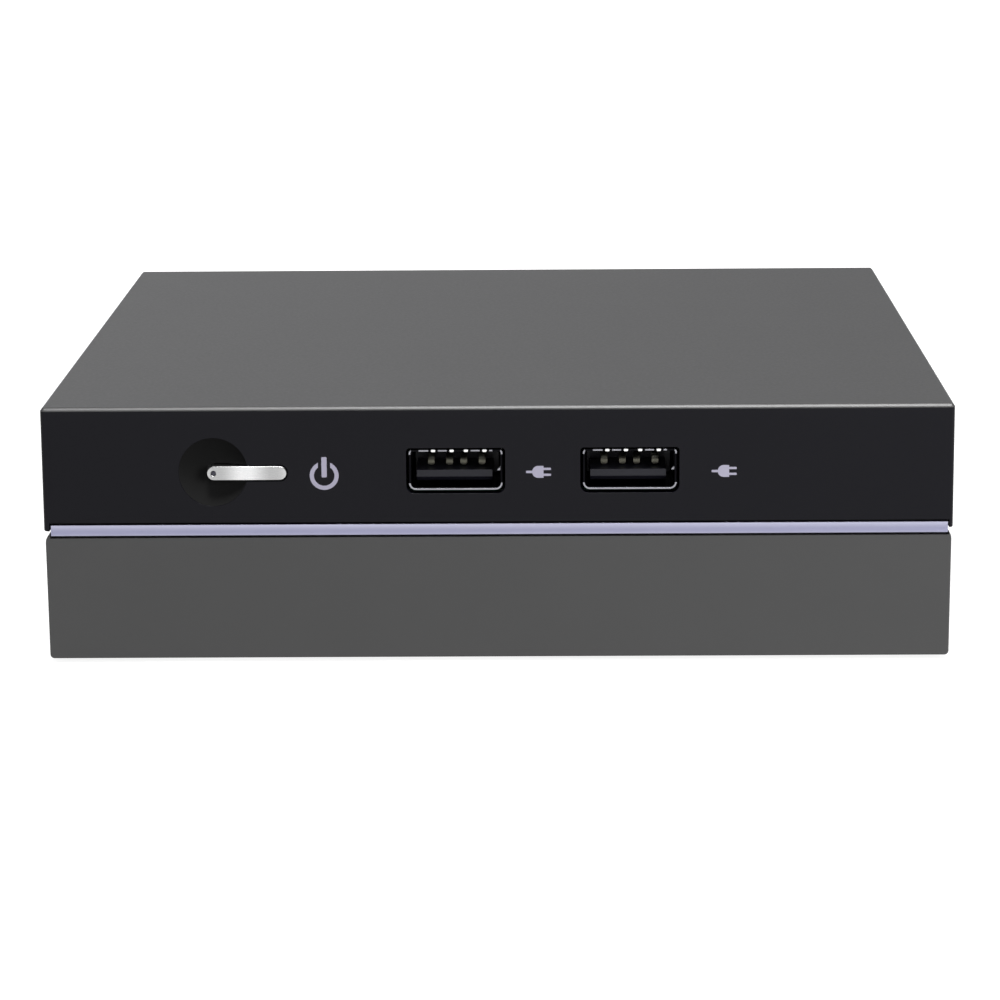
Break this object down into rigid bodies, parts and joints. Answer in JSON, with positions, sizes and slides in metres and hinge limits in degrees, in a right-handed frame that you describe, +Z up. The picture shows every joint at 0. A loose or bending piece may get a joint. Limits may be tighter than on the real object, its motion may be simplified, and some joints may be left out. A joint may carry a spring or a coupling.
{
  "type": "mini pc",
  "caption": "Small square desktop computer in two stacked tiers: a host unit with a gloss front panel, bar-shaped power button and ports, standing on a detachable drive dock.",
  "frame": {"origin": "centre of the footprint, on the surface that the four feet stand on", "axes": "+X to the right seen from the front, +Y from the front panel to the rear ports, +Z up"},
  "size_m": [0.128, 0.1281, 0.0369],
  "materials": {
    "satin_grey_shell": "satin, very fine grain",
    "gloss_black_panel": "polished gloss",
    "matt_black_shell": "fine matt texture",
    "lavender_metal": "satin anodised",
    "silver_button": "satin bright",
    "smoked_lens": "smoked, polished",
    "nickel_shell": "nickel plate",
    "port_black": "moulded, fine matt",
    "board": "solder resist over glass laminate",
    "chip_package": "moulded package",
    "cooler_aluminium": "extruded, clear",
    "fan_plastic": "moulded",
    "sheet_steel": "zinc plate",
    "cell_steel": "nickel-plated can",
    "magnet_nickel": "nickel plate",
    "screw_steel": "black zinc",
    "foot_rubber": "matt",
    "drive_case": "satin"
  },
  "bodies": {
    "dock": {"dock_case": "satin_grey_shell", "dock_cover": "matt_black_shell", "foot_1": "foot_rubber", "foot_2": "foot_rubber", "foot_3": "foot_rubber", "foot_4": "foot_rubber", "cover_screw_1": "screw_steel", "cover_screw_2": "screw_steel", "cover_screw_3": "screw_steel", "cover_screw_4": "screw_steel", "drive": "drive_case", "drive_connector": "port_black", "dock_board": "board", "dock_plug": "port_black", "dock_magnet_left": "magnet_nickel", "dock_magnet_right": "magnet_nickel"},
    "host": {"accent_strip": "lavender_metal", "antenna": "board", "audio_jack": "port_black", "base_screw_1": "screw_steel", "base_screw_2": "screw_steel", "base_screw_3": "screw_steel", "base_screw_4": "screw_steel", "coin_cell": "cell_steel", "coin_cell_holder": "port_black", "dock_socket": "port_black", "fan_cover": "sheet_steel", "fan_housing": "fan_plastic", "front_panel": "gloss_black_panel", "front_usb_left_shell": "nickel_shell", "front_usb_left_tongue": "port_black", "front_usb_right_shell": "nickel_shell", "front_usb_right_tongue": "port_black", "heatsink": "cooler_aluminium", "host_base": "matt_black_shell", "host_frame": "matt_black_shell", "host_magnet_left": "magnet_nickel", "host_magnet_right": "magnet_nickel", "memory_module": "board", "memory_socket": "port_black", "motherboard": "board", "network_jack": "nickel_shell", "power_jack": "port_black", "power_switch": "port_black", "processor": "chip_package", "rear_usb_left_shell": "nickel_shell", "rear_usb_left_tongue": "port_black", "rear_usb_right_shell": "nickel_shell", "rear_usb_right_tongue": "port_black", "ssd_module": "board", "ssd_socket": "port_black", "top_cover": "satin_grey_shell", "video_shell": "nickel_shell", "video_tongue": "port_black", "wireless_card": "board", "wireless_socket": "port_black"},
    "power_button": {"power_button": "silver_button", "status_light": "smoked_lens", "switch_plunger": "sheet_steel"},
    "fan_rotor": {"fan_impeller": "fan_plastic"}
  },
  "joints": [
    {"name": "host_lift", "type": "slide", "parent": "dock", "child": "host", "axis": [0, 0, 1], "range_m": [0, 0.04]},
    {"name": "button_press", "type": "slide", "parent": "host", "child": "power_button", "axis": [0, 1, 0], "range_m": [0, 0.0005], "stiffness_N_per_m": 800, "springref_m": -0.001},
    {"name": "fan_spin", "type": "hinge", "parent": "host", "child": "fan_rotor", "pos_m": [-0.023, 0, 0.03205], "axis": [0, 0, 1], "continuous": true}
  ]
}
